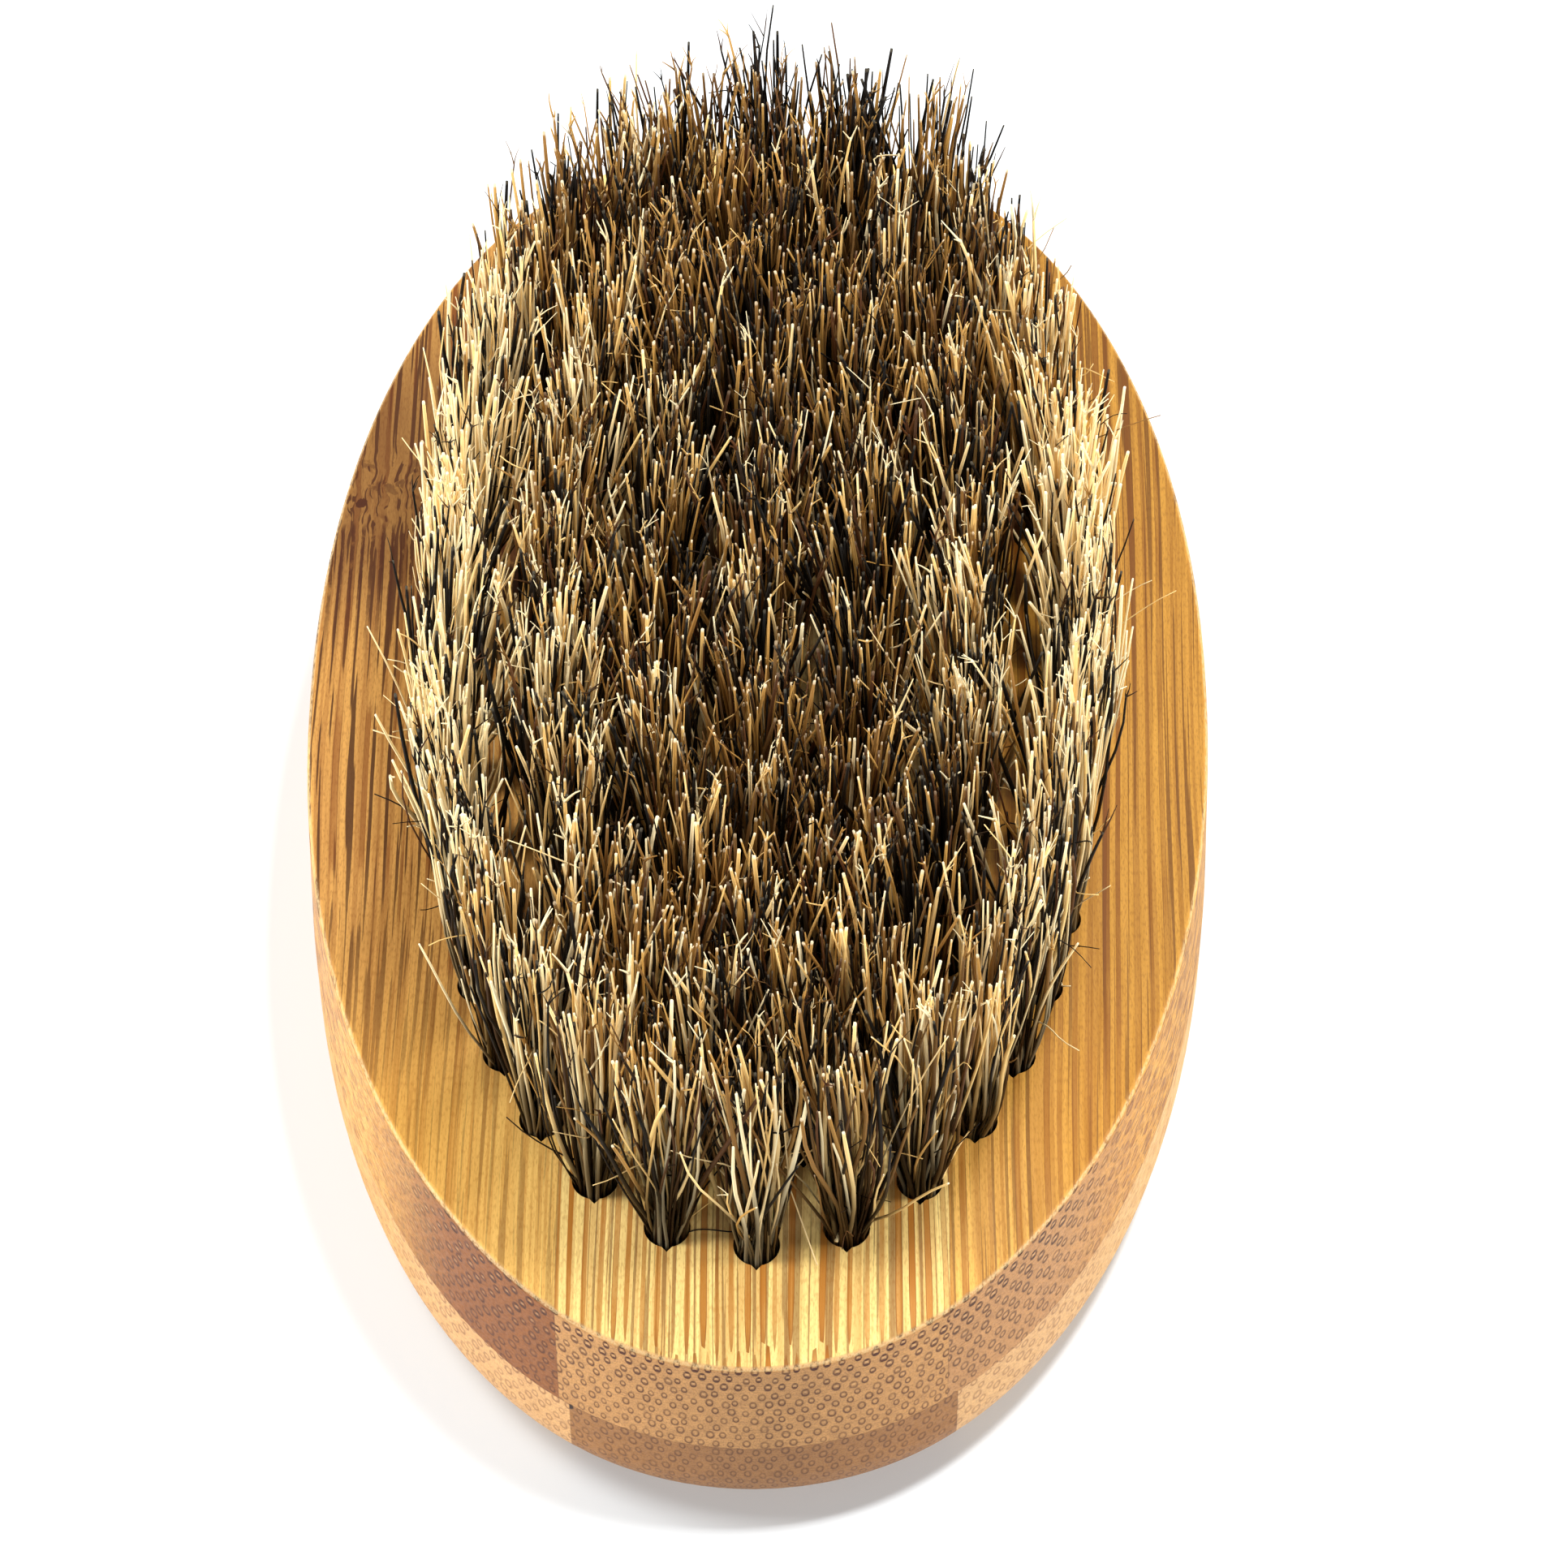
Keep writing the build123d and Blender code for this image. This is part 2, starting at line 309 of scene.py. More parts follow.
class Bamboo(Shader):
    """Solid bamboo for one strip. Fibre bundles run along Y, so they show as ringed marks on end
    grain and as stripes where a face runs along the grain."""

    def __init__(self, strip, look):
        super().__init__(strip + "_bamboo")
        self.strip = strip
        self.look = look
        self.tones = {key: tone(value) for key, value in look.items() if isinstance(value, str)}
        self.place = tuple(self.split(self.millimetres()))
        self.x, self.y, self.z = self.place
        self.follow_fibres()
        self.find_bundle()
        self.mottle = self.cloud(self.place, (0.8, 0.3, 0.8), 3.0)["Fac"]
        self.pores = self.cloud(self.place, (9.0, 2.0, 9.0))["Fac"]
        self.fibre = self.grain(5.5, 0.12, 3.0, seed=0.0)
        self.finish()

    def follow_fibres(self):
        """Place across the fibres: side, and level and height above the underside. They follow the
        crown of the face, and wander a little; height also counts the sanding at the ends."""
        far = self.math("ABSOLUTE", self.y)
        block_end = strips_box()[1].y / MM
        crown = self.square_past(far, CROWN_START, block_end - CROWN_START, CROWN_DROP)
        roll = self.square_past(far, block_end - ROLL_OFF, ROLL_OFF, ROLL_OFF_DROP)
        wander = self.cloud(self.place, (0.06, 0.016, 0.06), 1.0, seed=self.look["seed"])
        drift = self.split(wander["Color"])
        side = self.moved(self.x, drift[0], SIDE_DRIFT)
        side = self.math("MULTIPLY_ADD", self.y, self.look["tilt"], side)
        level = self.moved(self.math("ADD", self.z, crown), drift[1], HEIGHT_DRIFT)
        if self.look["knot"]:
            near = self.bump_at(self.y, KNOT_Y + 1.0, KNOT_REACH)
            swirl = self.split(self.cloud(self.place, (0.45, 0.28, 0.4))["Color"])
            pull = self.times(self.math("SUBTRACT", swirl[0], 0.5), KNOT_PULL)
            side = self.math("MULTIPLY_ADD", pull, near, side)
            lift = self.times(self.math("SUBTRACT", swirl[1], 0.5), KNOT_LIFT)
            level = self.math("MULTIPLY_ADD", lift, near, level)
        self.side = side
        self.level = level
        self.height = self.math("SUBTRACT", level, roll)

    def find_bundle(self):
        """The nearest bundle: its own random numbers, its place in the grid, and the way from it.
        One cell of the staggered, jittered grid holds one, and a row of them lies in the face."""
        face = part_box("upper_centre_strip")[1].z / MM
        grid_z = self.math("DIVIDE", self.math("SUBTRACT", self.height, face - FIRST_ROW), BUNDLE_PITCH_Z)
        grid_z = self.math("ADD", grid_z, BUNDLE_JITTER / 2)
        grid_x = self.math("MULTIPLY_ADD", grid_z, 0.5, self.math("DIVIDE", self.side, BUNDLE_PITCH_X))
        cells = self.node("TexVoronoi", {"voronoi_dimensions": "2D"},
                          Vector=self.join(grid_x, grid_z, 0.0), Scale=1.0, Randomness=BUNDLE_JITTER)
        self.own = self.split(cells.outputs["Color"])
        self.centre = self.split(cells.outputs["Position"])
        away_z = self.math("SUBTRACT", grid_z, self.centre[1])
        away_x = self.math("MULTIPLY_ADD", away_z, -0.5, self.math("SUBTRACT", grid_x, self.centre[0]))
        size = self.span(self.own[0], 0.0, 1.0, 0.85, 1.15)
        self.off_x = self.times(self.math("DIVIDE", away_x, size), BUNDLE_PITCH_X)
        self.off_z = self.times(self.math("DIVIDE", away_z, size), BUNDLE_PITCH_Z)

    def grain(self, fine, short, detail, seed=None):
        """Noise drawn out along the fibres, with fine changes per millimetre across them."""
        seed = self.look["seed"] if seed is None else seed
        return self.cloud((self.side, self.y, self.level), (fine, short, fine), detail, seed=seed)["Fac"]

    def oval(self, off_x, off_z, middle, half_width, half_height):
        """Distance from the middle of an oval, 1 on the oval itself."""
        across = self.math("DIVIDE", off_x, half_width)
        up = self.math("DIVIDE", self.math("SUBTRACT", off_z, middle), half_height)
        return self.math("SQRT", self.math("ADD", self.times(across, across), self.times(up, up)))

    def mark_part(self, middle, half_width, half_height, start=1.15):
        """A filled oval above or below the middle of a bundle."""
        return self.span(self.oval(self.off_x, self.off_z, middle, half_width, half_height), start, 0.8)

    def across_grain(self):
        """End grain: a ringed mark for each bundle, stronger toward the bristle face."""
        heavy = self.span(self.z, 12.0, 18.0, 0.15, 1.0)
        rich = self.span(self.z, 2.0, 18.0, 0.6, 1.0)
        ring = self.oval(self.off_x, self.off_z, 0.0, BUNDLE_HALF_WIDTH, BUNDLE_HALF_HEIGHT)
        outline = self.times(self.bump_at(ring, 1.0, 0.54), self.span(self.off_z, -0.12, 0.08, 1.0, 0.8))
        below = self.mark_part(-0.23, 0.2, 0.15)
        above = self.mark_part(0.27, 0.15, 0.11)
        heart = self.mark_part(0.03, 0.09, 0.13, start=1.1)
        dark = self.most(outline, self.times(self.most(below, above), heavy))
        dark = self.times(dark, rich, self.span(self.own[1], 0.0, 0.5, 0.75, 1.0))
        sanding = self.cloud(self.place, (0.7, 0.7, 8.0))["Fac"]
        mark = self.tones["mark"]
        colour = self.mix(self.span(self.mottle, 0.3, 0.7, 0.0, 0.15), self.tones["across"], mark)
        colour = self.mix(self.span(self.pores, 0.4, 0.7, 0.0, 0.35), colour, mark)
        colour = self.mix(self.span(sanding, 0.45, 0.7, 0.0, 0.2), colour, mark)
        colour = self.mix(self.times(heart, self.times(heavy, 0.2)), colour, tone("e6c493"))
        return self.mix(dark, colour, mark)

    def along_grain(self):
        """Face and flanks: a varied ground, loose dark streaks, and a stripe for each bundle."""
        look = self.look
        toward_front = self.span(self.y, -22.0, -42.0)
        from_seam = self.span(self.math("ABSOLUTE", self.x), 12.0, 24.0)
        front = self.mix(from_seam, self.tones["seam"], self.tones["front"])
        stripe = self.mix(toward_front, self.tones["stripe"], self.tones["front_stripe"])
        colour = self.mix(toward_front, self.tones["along"], front)
        colour = self.mix(self.span(self.grain(0.55, 0.008, 2.0), 0.35, 0.7, 0.0, 0.2), colour, stripe)
        colour = self.mix(self.span(self.grain(2.2, 0.01, 1.0), 0.5, 0.56, 0.0, 0.32), colour, stripe)
        colour = self.mix(self.span(self.fibre, 0.4, 0.75, 0.0, 0.25), colour, stripe)
        colour = self.mix(self.span(self.pores, 0.45, 0.7, 0.0, 0.35), colour, stripe)

        kept = self.span(self.y, -36.0, -12.0, look["front_marked"], 1.0)
        rare = 0.6 - 0.06 * look["streaky"]
        streaks = self.span(self.grain(3.2, look["short"], 2.0), rare, rare + 0.035, 0.0, look["streaky"])
        colour = self.mix(self.times(streaks, kept), colour, self.tones["line"])

        chosen = self.span(self.own[2], look["sparse"], look["sparse"] + 0.2)
        gaps = self.cloud((self.centre[0], self.y, self.centre[1]), (3.7, 0.07, 3.7), 1.0,
                          seed=look["seed"])["Fac"]
        drawn = self.span(gaps, 0.45, 0.53, look["marked"] * (1 - look["broken"]), look["marked"])
        drawn = self.times(chosen, drawn, kept)
        section = self.math("ADD", self.share(self.off_x, STRIPE_HALF_WIDTH),
                            self.share(self.off_z, STRIPE_HALF_HEIGHT))
        section = self.moved(section, self.fibre, 0.8)
        body = self.span(section, 1.05, 0.85)
        amber = self.times(body, self.span(self.own[1], 0.0, 1.0, 0.6, 1.0))
        colour = self.mix(self.times(amber, drawn), colour, stripe)
        paired = self.times(self.bump_at(section, 0.85, 0.25), self.span(self.own[0], 0.55, 0.65, 0.0, 0.7))
        low_edge = self.times(body, self.span(self.off_z, -0.1, -0.4, 0.0, 0.35))
        high_edge = self.times(body, self.span(self.off_z, 0.16, 0.38, 0.0, 0.5))
        lines = self.most(paired, self.most(low_edge, high_edge))
        return self.mix(self.times(lines, drawn), colour, self.tones["line"])

    def share(self, off, half):
        """One axis of a superellipse, 1 at half."""
        return self.math("POWER", self.math("DIVIDE", self.math("ABSOLUTE", off), half), STRIPE_POWER)

    def scorch(self):
        """Dark streaks in front of and behind the knot, mottling over it, one dark hole in it."""
        swirl = self.cloud((self.side, self.y, self.z), (0.9, 0.5, 0.9), 4.0, 0.65)["Fac"]
        bend = self.moved(self.times(self.x, 8.6), swirl, 3.0)
        front = self.between(KNOT_Y - 19.0, KNOT_Y - 6.0, KNOT_Y - 3.0, KNOT_Y - 0.5)
        rear = self.times(self.span(self.y, KNOT_Y + 22.0, KNOT_Y + 10.0, 0.0, 0.6),
                          self.span(self.y, KNOT_Y + 5.0, KNOT_Y + 8.0))
        streaks = self.times(self.span(self.math("SINE", bend), -0.3, 0.6), self.most(front, rear),
                             self.span(swirl, 0.3, 0.5, 0.45, 1.0), 0.95)
        spots = self.times(self.bump_at(self.y, KNOT_Y + 2.5, 9.0), self.span(swirl, 0.45, 0.6), 0.85)
        stain = self.times(self.between(KNOT_Y - 16.0, KNOT_Y - 4.0, KNOT_Y + 8.0, KNOT_Y + 26.0), 0.6)
        away = self.math("ADD", self.math("POWER", self.math("SUBTRACT", self.x, KNOT_X), 2.0),
                         self.math("POWER", self.math("SUBTRACT", self.y, KNOT_Y), 2.0))
        away = self.moved(self.math("SQRT", away), swirl, 1.2)
        hole = self.most(self.span(away, 0.55, 0.3), self.times(self.bump_at(away, 1.2, 0.5), 0.5))
        return self.most(streaks, spots, stain, hole)

    def between(self, start, full, still, end):
        """1 along Y from full to still, falling smoothly to 0 at start and end."""
        return self.times(self.span(self.y, start, full), self.span(self.y, end, still))

    def glue(self):
        """Thin dark lines where this strip meets its neighbours."""
        low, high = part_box(self.strip)
        block_low, block_high = strips_box()
        joints = []
        for axis, value in ((0, self.x), (2, self.z)):
            for mine, outer in ((low[axis], block_low[axis]), (high[axis], block_high[axis])):
                if abs(mine - outer) > 5 * MM:
                    joints.append(self.bump_at(value, mine / MM, GLUE_LINE))
        return self.times(self.most(*joints), self.span(self.mottle, 0.35, 0.6, 0.12, 0.5))

    def speck(self):
        """A chip in the upper left corner of the strip's -Y end."""
        low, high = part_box(self.strip)
        off_x = self.math("SUBTRACT", self.x, low.x / MM)
        off_z = self.math("SUBTRACT", self.z, high.z / MM)
        corner = self.oval(off_x, off_z, -0.2, 0.3, 0.35)
        return self.times(self.span(corner, 1.2, 0.7), self.span(self.y, 0.0, -1.0))

    def finish(self):
        """Colour by the way a face looks, then the knot, sanded edges with a painted highlight, and glue;
        gloss; pores.
        """
        _, normal_y, normal_z = self.split(self.node("NewGeometry").outputs["Normal"])
        end_grain = self.span(self.math("ABSOLUTE", normal_y), 0.28, 0.62)
        colour = self.mix(end_grain, self.along_grain(), self.across_grain())
        if self.look["knot"]:
            colour = self.mix(self.scorch(), colour, tone("4a2003"))
        # Pale band on the rounded top edges: sanding wear and a painted highlight.
        sanded_edge_and_highlight = self.times(self.span(normal_z, 0.3, 0.55), self.span(normal_z, 0.97, 0.8),
                                 self.span(self.pores, 0.35, 0.6, 0.1, 0.5))
        colour = self.mix(sanded_edge_and_highlight, colour, tone("f3d59c"))
        colour = self.mix(self.glue(), colour, tone("6b4526"))
        if self.strip == "lower_centre_strip":
            colour = self.mix(self.speck(), colour, tone("2a1408"))
        self.put(self.surface.inputs["Base Color"], colour)
        self.put(self.surface.inputs["Roughness"], self.span(self.fibre, 0.3, 0.7, 0.45, 0.62))
        self.surface.inputs["Specular IOR Level"].default_value = 0.3
        self.bumped(self.mix(end_grain, self.fibre, self.pores), 0.006 * MM, 0.5)


# ---------------------------------------------------------------- anchors

def brushed_metal():
    """Flattened wire: lengthwise scratches and a little tarnish."""
    s = Shader("anchor_metal")
    place = s.millimetres()
    scratches = s.cloud(s.split(place), (14.0, 0.8, 14.0), 3.0)["Fac"]
    tarnish = s.noise(place)["Fac"]
    colour = s.mix(s.span(tarnish, 0.45, 0.7, 0.0, 0.5), tone("b9b9b4"), tone("8a7f6a"))
    s.put(s.surface.inputs["Base Color"], colour)
    s.put(s.surface.inputs["Roughness"], s.span(scratches, 0.3, 0.7, 0.25, 0.45))
    s.surface.inputs["Metallic"].default_value = 1.0
    s.bumped(scratches, 0.01 * MM, 0.4)
    return s.material


# ---------------------------------------------------------------- bristles

# Colours of the hairs, from black to straw, by their shade from 0 to 1.
BRISTLE_TONES = (
    (0.0, "0e0b08"), (0.16, "171009"), (0.24, "3a2611"), (0.34, "56331a"), (0.42, "6c4e29"),
    (0.58, "966c36"), (0.74, "cb9c52"), (0.87, "fbd388"), (1.0, "fff0c4"),
)


def bristle_material():
    """Boar bristle. The attribute 'shade' picks a hair's colour, and 'along' goes from its fold
    at 0 to its cut tip at 1."""
    s = Shader("boar_bristle")
    shade = s.node("Attribute", {"attribute_name": "shade"}).outputs["Fac"]
    along = s.node("Attribute", {"attribute_name": "along"}).outputs["Fac"]
    ramp = s.node("ValToRGB", Fac=shade)
    stops = ramp.color_ramp.elements
    stops[0].color = tone(BRISTLE_TONES[0][1])
    stops[1].color = tone(BRISTLE_TONES[-1][1])
    for position, code in BRISTLE_TONES[1:-1]:
        stops.new(position).color = tone(code)
    # Roots darker towards the fold: partly darker pigment, partly painted shade deep in the tuft.
    dark_root_and_painted_shade = s.span(along, 0.82, 0.38, 0.0, 0.85)
    # Pale cut tips: a painted highlight of the cut faces, weaker on dark hairs.
    painted_tip_highlight = s.times(s.span(along, 0.988, 0.996), s.span(shade, 0.3, 0.75, 0.06, 0.7))
    colour = s.mix(dark_root_and_painted_shade, ramp.outputs[0], tone("1a0d04"))
    colour = s.mix(painted_tip_highlight, colour, tone("fff0cd"))
    s.put(s.surface.inputs["Base Color"], colour)
    s.put(s.surface.inputs["Roughness"], s.span(along, 0.4, 1.0, 0.4, 0.55))
    s.surface.inputs["Specular IOR Level"].default_value = 0.12
    return s.material


def solid_places(node):
    """Lowest and highest corner of each separate solid of a CAD node, in millimetres."""
    solid = bmesh.new()
    solid.from_mesh(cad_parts[node].data)
    bmesh.ops.remove_doubles(solid, verts=solid.verts, dist=1e-6)
    left = set(solid.verts)
    found = []
    while left:
        waiting = [left.pop()]
        points = []
        while waiting:
            vert = waiting.pop()
            points.append(vert.co / MM)
            for edge in vert.link_edges:
                other = edge.other_vert(vert)
                if other in left:
                    left.remove(other)
                    waiting.append(other)
        points = np.array(points)
        found.append((points.min(0), points.max(0)))
    solid.free()
    return sorted(found, key=lambda corners: tuple(corners[0].round(3)))


def tube(path, radii):
    """Rings of points round a path, each square to it."""
    along = np.gradient(path, axis=0)
    along /= np.linalg.norm(along, axis=1)[:, None]
    across = np.cross(along, (0.12, 1.0, 0.07))
    across /= np.linalg.norm(across, axis=1)[:, None]
    other = np.cross(along, across)
    turn = np.arange(HAIR_SIDES) * 2 * math.pi / HAIR_SIDES
    ring = across[:, None] * np.cos(turn)[None, :, None] + other[:, None] * np.sin(turn)[None, :, None]
    return path[:, None] + ring * radii[:, None, None]


def curve(points):
    """The smooth curve that four control points pull on."""
    t = np.linspace(0, 1, STRAY_POINTS)[:, None]
    first, second, third, last = points
    return (1 - t)**3 * first + 3 * t * (1 - t)**2 * second + 3 * t**2 * (1 - t) * third + t**3 * last


class Hairs:
    """Collects hairs, and makes them into one mesh of closed tubes."""

    def __init__(self):
        self.points = []
        self.faces = []
        self.shades = []
        self.alongs = []
        self.count = 0
        self.spans = []

    def add(self, path, radii, shade, along):
        first = self.count
        last = first + (len(path) - 1) * HAIR_SIDES
        self.count = last + HAIR_SIDES
        self.points.append(tube(path, radii).reshape(-1, 3))
        self.alongs.append(np.repeat(along, HAIR_SIDES))
        self.shades.append(np.full(self.count - first, shade))
        for ring in range(first, last, HAIR_SIDES):
            for j in range(HAIR_SIDES):
                a = ring + j
                b = ring + (j + 1) % HAIR_SIDES
                self.faces.append((a, b, b + HAIR_SIDES, a + HAIR_SIDES))
        self.faces.append(tuple(first + j for j in reversed(range(HAIR_SIDES))))
        self.faces.append(tuple(last + j for j in range(HAIR_SIDES)))
        self.spans.append((first, self.count))

    def piece(self, name, material):
        points = np.concatenate(self.points) * MM
        mesh = bpy.data.meshes.new(name)
        mesh.from_pydata(points.tolist(), [], self.faces)
        for key, values in (("shade", self.shades), ("along", self.alongs)):
            data = mesh.attributes.new(key, "FLOAT", "POINT").data
            data.foreach_set("value", np.concatenate(values).astype(np.float32))
        self.lay_out(mesh)
        rounded = [len(face) == 4 for face in self.faces]
        mesh.polygons.foreach_set("use_smooth", rounded)
        mesh.materials.append(material)
        made = bpy.data.objects.new(name, mesh)
        bpy.context.scene.collection.objects.link(made)
        return made

    def lay_out(self, mesh):
        """Gives each hair its own strip of the map, with its length up the strip."""
        columns = math.ceil(len(self.spans) / MAP_ROWS)
        owner = np.zeros(self.count, int)
        for i, (first, end) in enumerate(self.spans):
            owner[first:end] = i
        along = np.concatenate(self.alongs)
        corner = np.zeros(len(mesh.loops), int)
        mesh.loops.foreach_get("vertex_index", corner)
        hair = owner[corner]
        rank = corner - np.array([first for first, _ in self.spans])[hair]
        side = (rank % HAIR_SIDES) / (HAIR_SIDES - 1)
        u = (hair % columns + SIDE_MARGIN + (1 - 2 * SIDE_MARGIN) * side) / columns
        v = (hair // columns + END_MARGIN + (1 - 2 * END_MARGIN) * along[corner]) / MAP_ROWS
        layer = mesh.uv_layers.new(name="OFBake")
        layer.data.foreach_set("uv", np.stack([u, v], 1).astype(np.float32).ravel())


def hair_shade(rng, light):
    """Place on the bristle colour ramp: black, dark brown, brown or straw. The larger light is, usually
    from 0 to 1, the more hairs are straw, and the paler those are; light carries painted light and shade by
    the tuft's place."""
    kind = rng.random()
    if kind < 0.36 - 0.08 * light:
        return rng.uniform(0.0, 0.2)
    if kind < 0.48 - 0.18 * light:
        return rng.uniform(0.24, 0.4)
    if kind < 0.82 - 0.45 * light:
        return rng.uniform(0.4, 0.74)
    return rng.uniform(0.74 + 0.14 * min(max(light, 0.0), 1.0), 1.0)


def locks(rng):
    """Leanings of the few locks that a tuft's hairs gather into: X, Y and height."""
    return rng.normal(0, 1, (LOCKS_PER_TUFT, 3)) * (1.0, 1.0, 0.7)


def nearest_lock(gathers, root):
    """The lock on the same side of the tuft as a hair's root."""
    angles = np.arange(len(gathers)) * 2 * math.pi / len(gathers) - math.pi
    away = np.abs(angles - math.atan2(root[1], root[0]))
    return gathers[int(away.argmin())]


def leg(rng, root, face_z, tip_z, lean, lock, thickness, away):
    """One half of a folded hair above the anchor: up through the hole, then out to its tip."""
    radius = np.hypot(*root)
    outward = root / max(radius, 1e-6)
    share = radius / ROOT_RADIUS
    shift = outward * FLARE * share**1.3 + lean + lock[:2] + rng.normal(0, HAIR_LEAN, 2)
    if rng.random() < BENT_SHARE:
        shift = shift + rng.normal(0, BENT_LEAN, 2)
    escaping = max(0.0, shift @ away)
    tip = root + shift - away * escaping * (1 - EDGE_FLARE)
    bow = outward * share * rng.uniform(-0.1, 0.55) + rng.normal(0, BOW, 2)
    wave = rng.normal(0, WAVE, 2)
    shorter = abs(rng.normal(0, TIP_SCATTER))
    if rng.random() < SHORT_SHARE:
        shorter += rng.uniform(*SHORT_LOSS)
    top = tip_z + TIP_RISE - shorter + lock[2]
    t = np.array([0.0, 0.12, 0.28, 0.46, 0.64, 0.82, 1.0])
    course = (root + np.outer(t**1.15, tip - root) + np.outer(np.sin(math.pi * t), bow) * 0.8
              + np.outer(np.sin(2 * math.pi * t), wave))
    path = np.column_stack([course, face_z + t * (top - face_z)])
    radii = thickness / 2 * (1 - 0.18 * t - 0.22 * t**8)
    return path, radii


def folded_hair(rng, hairs, middle, anchor_low, face_z, tip_z, roots, lean, gathers, light, away):
    """A hair that runs down into the hole, under the anchor and up again."""
    thickness = rng.choice((rng.uniform(*THICK), rng.uniform(*THIN)), p=(THICK_SHARE, 1 - THICK_SHARE))
    shade = hair_shade(rng, light)
    fold_z = anchor_low[2] - FOLD_DROP * rng.uniform(0.4, 1.2)
    halves = []
    for root in roots:
        astray = rng.random() < ASTRAY_SHARE
        lock = gathers[rng.integers(len(gathers))] if astray else nearest_lock(gathers, root)
        path, radii = leg(rng, root, face_z, tip_z, lean, lock, thickness, away)
        beside = math.copysign(BESIDE_ANCHOR, root[0])
        inner = np.array([
            (beside * 0.6, root[1] * 0.8, fold_z + 0.12),
            (beside + root[0] * 0.12, root[1] * 0.85, fold_z + 0.9),
            (root[0], root[1], (fold_z + face_z) / 2 + 0.5),
        ])
        halves.append((np.vstack([inner, path]), np.concatenate([np.full(3, thickness / 2), radii])))
    (left, left_radii), (right, right_radii) = halves
    bottom = np.array([[0.0, (left[0, 1] + right[0, 1]) / 2, fold_z]])
    path = np.vstack([left[::-1], bottom, right])
    radii = np.concatenate([left_radii[::-1], [thickness / 2], right_radii])
    along = np.abs(path[:, 2] - fold_z)
    along = np.concatenate([along[:len(left)] / along[0], [0.0], along[-len(right):] / along[-1]])
    hairs.add(path + (middle[0], middle[1], 0.0), radii, shade, along)
    for tip, before in ((path[0], path[1]), (path[-1], path[-2])):
        if rng.random() < SPLIT_SHARE:
            split_end(rng, hairs, middle, tip, before, thickness, shade)


def split_end(rng, hairs, middle, tip, before, thickness, shade):
    """Two or three thin ends that fan out of a cut tip."""
    direction = (tip - before) / np.linalg.norm(tip - before)
    for _ in range(rng.integers(2, 4)):
        aim = direction + rng.normal(0, 0.28, 3)
        reach = rng.uniform(*SPLIT_LENGTH)
        t = np.linspace(0, 1, 4)[:, None]
        path = tip - direction * 0.25 + t * aim * reach + t**2 * rng.normal(0, 0.2, 3)
        radii = np.array([0.3, 0.22, 0.16, 0.1]) * thickness
        hairs.add(path + (middle[0], middle[1], 0.0), radii, min(shade + 0.15, 1.0),
                  np.array([0.9, 0.93, 0.95, 0.96]))


def fine_hair(rng, hairs, middle, face_z, tip_z, light):
    """A thin curly hair that strays across the tuft or its neighbours."""
    turn = rng.uniform(0, 2 * math.pi)
    start = np.array([math.cos(turn), math.sin(turn)]) * rng.uniform(0.4, 1.2)
    height = rng.uniform(0.05, 0.85) * (tip_z - face_z) + face_z
    aim = np.array([math.cos(turn), math.sin(turn), rng.uniform(0.6, 2.0)]) + rng.normal(0, 0.5, 3)
    aim /= np.linalg.norm(aim)
    curl = rng.normal(0, 1.0, 3)
    length = rng.uniform(*FINE_LENGTH)
    t = np.linspace(0, 1, FINE_POINTS)[:, None]
    path = (np.array([*start * (1 + 0.6 * (height - face_z) / (tip_z - face_z)), height])
            + t * aim * length + t**2 * curl * length * 0.28
            + np.sin(t * math.pi * rng.uniform(0.8, 2.2)) * rng.normal(0, 0.25, 3))
    path[:, 2] = np.clip(path[:, 2], face_z + 0.15, tip_z + 1.6)
    radii = np.linspace(*FINE_RADII, FINE_POINTS) * rng.uniform(0.8, 1.3)
    hairs.add(path + (middle[0], middle[1], 0.0), radii, hair_shade(rng, max(light, 0.5)),
              np.linspace(0.5, 0.96, FINE_POINTS))


def packed_roots(rng):
    """Evenly packed hair positions in the hole, in pairs on either side of the anchor."""
    total = HAIRS_PER_TUFT * 2
    golden = math.pi * (3 - math.sqrt(5))
    spots = []
    start = rng.uniform(0, 2 * math.pi)
    for i in range(total):
        radius = ROOT_RADIUS * math.sqrt((i + 0.5) / total)
        angle = start + i * golden
        spots.append((radius * math.cos(angle), radius * math.sin(angle)))
    spots = np.array(spots) + rng.normal(0, ROOT_SCATTER, (total, 2))
    order = np.argsort(spots[:, 0])
    left, right = spots[order[:HAIRS_PER_TUFT]], spots[order[HAIRS_PER_TUFT:]]
    left = left[np.argsort(left[:, 1])]
    right = right[np.argsort(right[:, 1])]
    return list(zip(left, right))


def painted_light_share(offset, block, noise):
    """How common light hairs are in a tuft, as painted light and shade: more at the sides and the front, as
    painted light, fewer at the rear, as painted shade, plus the noise's random share.
    """
    beside = min(1.0, abs(offset[0]) / (block.x * 0.66)) ** 3
    side_painted_light = (1.3 if offset[0] < 0 else 0.95) * beside
    rear_painted_shade = min(max(offset[1] / block.y - 0.25, 0.0), 0.35)
    front_painted_light = min(max(-0.35 - offset[1] / block.y, 0.0), 0.25)
    return side_painted_light + front_painted_light - rear_painted_shade + noise


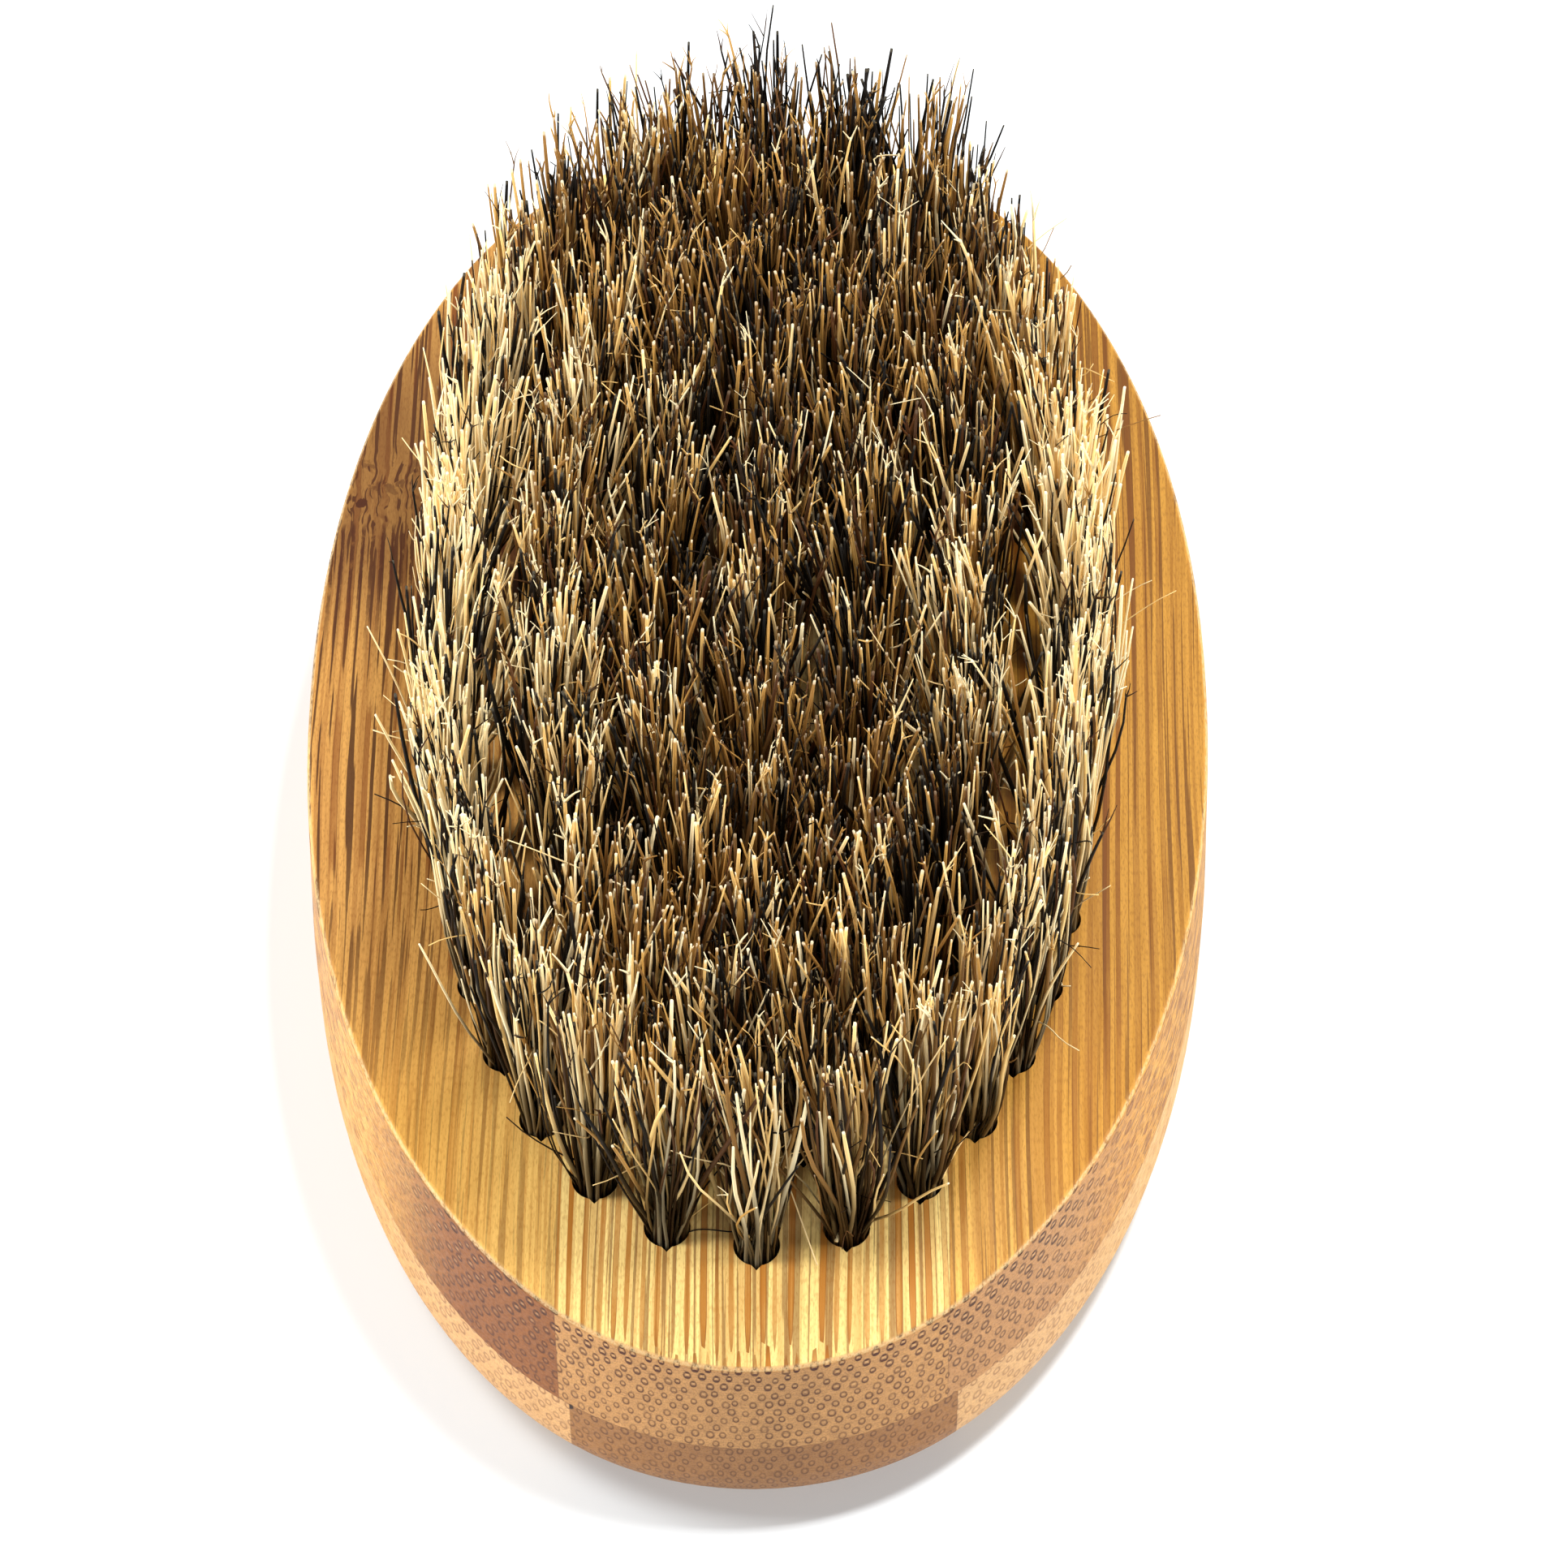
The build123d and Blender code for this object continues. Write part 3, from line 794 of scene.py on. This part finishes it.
def bristles(node, material, rng):
    """The real hairs of one group of tufts, in place of its plain solids."""
    hairs = Hairs()
    anchors = solid_places(node.replace("_tufts", "_anchors"))
    field = np.array([(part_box("middle_row_tufts")[i] / MM)[:2] for i in (0, 1)]).mean(0)
    block = strips_box()[1] / MM
    face_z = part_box("upper_centre_strip")[1].z / MM
    tip_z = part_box(node)[1].z / MM
    for low, high in anchors:
        middle = (low + high) / 2
        lean = rng.normal(0, TUFT_LEAN, 2)
        gathers = locks(rng)
        offset = middle[:2] - field
        away = np.array([math.copysign(min(1.0, abs(offset[0]) / (block.x * 0.5)), offset[0]), 0.0])
        # Share of pale hairs: painted light at the sides and front, painted shade at the rear, and a random
        # share.
        light = painted_light_share(offset, block, rng.normal(0, 0.2))
        for roots in packed_roots(rng):
            folded_hair(rng, hairs, middle, low, face_z, tip_z, roots, lean, gathers, light, away)
        for _ in range(FINE_HAIRS_PER_TUFT):
            fine_hair(rng, hairs, middle, face_z, tip_z, light)
    for place, thickness, shade, points in STRAYS.get(node, ()):
        low, high = anchors[place]
        hole = ((low + high) / 2)[:2]
        path = curve(np.array(points) + (*hole, face_z))
        radii = np.full(STRAY_POINTS, thickness / 2)
        hairs.add(path, radii, shade, np.linspace(0.8, 0.98, STRAY_POINTS))
    piece = hairs.piece(node.replace("_tufts", "_bristles"), material)
    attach(piece, "root")
    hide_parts(node)
    return piece


# ---------------------------------------------------------------- studio

def look_from():
    """Camera matrix: back from the target by the view's angles, then rolled."""
    back = Vector((math.sin(VIEW_TURN) * -math.cos(VIEW_ELEVATION),
                   -math.cos(VIEW_TURN) * math.cos(VIEW_ELEVATION), math.sin(VIEW_ELEVATION)))
    right = Vector((0, 0, 1)).cross(back).normalized()
    up = back.cross(right)
    turned = Matrix((right, up, back)).transposed().to_4x4()
    eye = Matrix.Translation(VIEW_TARGET + back * VIEW_DISTANCE)
    return eye @ turned @ Matrix.Rotation(VIEW_ROLL, 4, "Z")


def camera():
    data = bpy.data.cameras.new("camera")
    data.lens = LENS
    data.clip_start = 0.01
    data.clip_end = 10
    made = bpy.data.objects.new("camera", data)
    bpy.context.scene.collection.objects.link(made)
    made.matrix_world = look_from()
    bpy.context.scene.camera = made


def softbox(name, place, size, power, lights, aim=MIDDLE):
    """Area light that lights only what a collection includes."""
    data = bpy.data.lights.new(name, "AREA")
    data.shape = "RECTANGLE"
    data.size, data.size_y = size
    data.energy = power
    made = bpy.data.objects.new(name, data)
    bpy.context.scene.collection.objects.link(made)
    made.location = place
    made.rotation_euler = (Vector(place) - aim).to_track_quat("Z", "Y").to_euler()
    made.light_linking.receiver_collection = lights


def linked(name, made, state):
    """Collection for light linking that includes or excludes one object."""
    group = bpy.data.collections.new(name)
    group.objects.link(made)
    group.collection_objects[0].light_linking.link_state = state
    return group


def white_floor():
    """Plain white paper, level with the underside of the brush."""
    mesh = bpy.data.meshes.new("floor")
    half = FLOOR_HALF
    z = cad_box[0].z
    mesh.from_pydata([(-half, -half, z), (half, -half, z), (half, half, z), (-half, half, z)],
                     [], [(0, 1, 2, 3)])
    floor = bpy.data.objects.new("floor", mesh)
    bpy.context.scene.collection.objects.link(floor)
    paper = Shader("paper")
    fleck = paper.noise(paper.node("TexCoord").outputs["Object"])["Fac"]
    paper.put(paper.surface.inputs["Base Color"], paper.mix(fleck, tone("c4c8ca"), tone("c2c6c8")))
    paper.surface.inputs["Roughness"].default_value = 0.9
    paper.surface.inputs["Emission Color"].default_value = WHITE
    paper.surface.inputs["Emission Strength"].default_value = PAPER_GLOW
    mesh.materials.append(paper.material)
    return floor


def studio():
    """White world, white floor, and the lights."""
    world = bpy.data.worlds.new("studio")
    world.use_nodes = True
    background = world.node_tree.nodes["Background"]
    background.inputs["Color"].default_value = WHITE
    background.inputs["Strength"].default_value = WORLD_STRENGTH
    bpy.context.scene.world = world
    bpy.context.scene.view_settings.view_transform = "Standard"

    floor = white_floor()
    brush_only = linked("brush_only", floor, "EXCLUDE")
    floor_only = linked("floor_only", floor, "INCLUDE")
    for name, light in FLOOR_LIGHTS.items():
        softbox(name, *light, floor_only)
    for name, light in BRUSH_LIGHTS.items():
        softbox(name, *light, brush_only)
    softbox("front_fill", *FRONT_FILL, brush_only, aim=FRONT)


def coat(node, material):
    """Gives a CAD node its material."""
    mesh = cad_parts[node].data
    mesh.materials.clear()
    mesh.materials.append(material)


for node, look in STRIPS.items():
    coat(node, Bamboo(node, look).material)

metal = brushed_metal()
bristle = bristle_material()
rng = np.random.default_rng(SEED)
for node in sorted(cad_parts):
    if node.endswith("_anchors"):
        coat(node, metal)
    if node.endswith("_tufts"):
        bristles(node, bristle, rng)

camera()
studio()
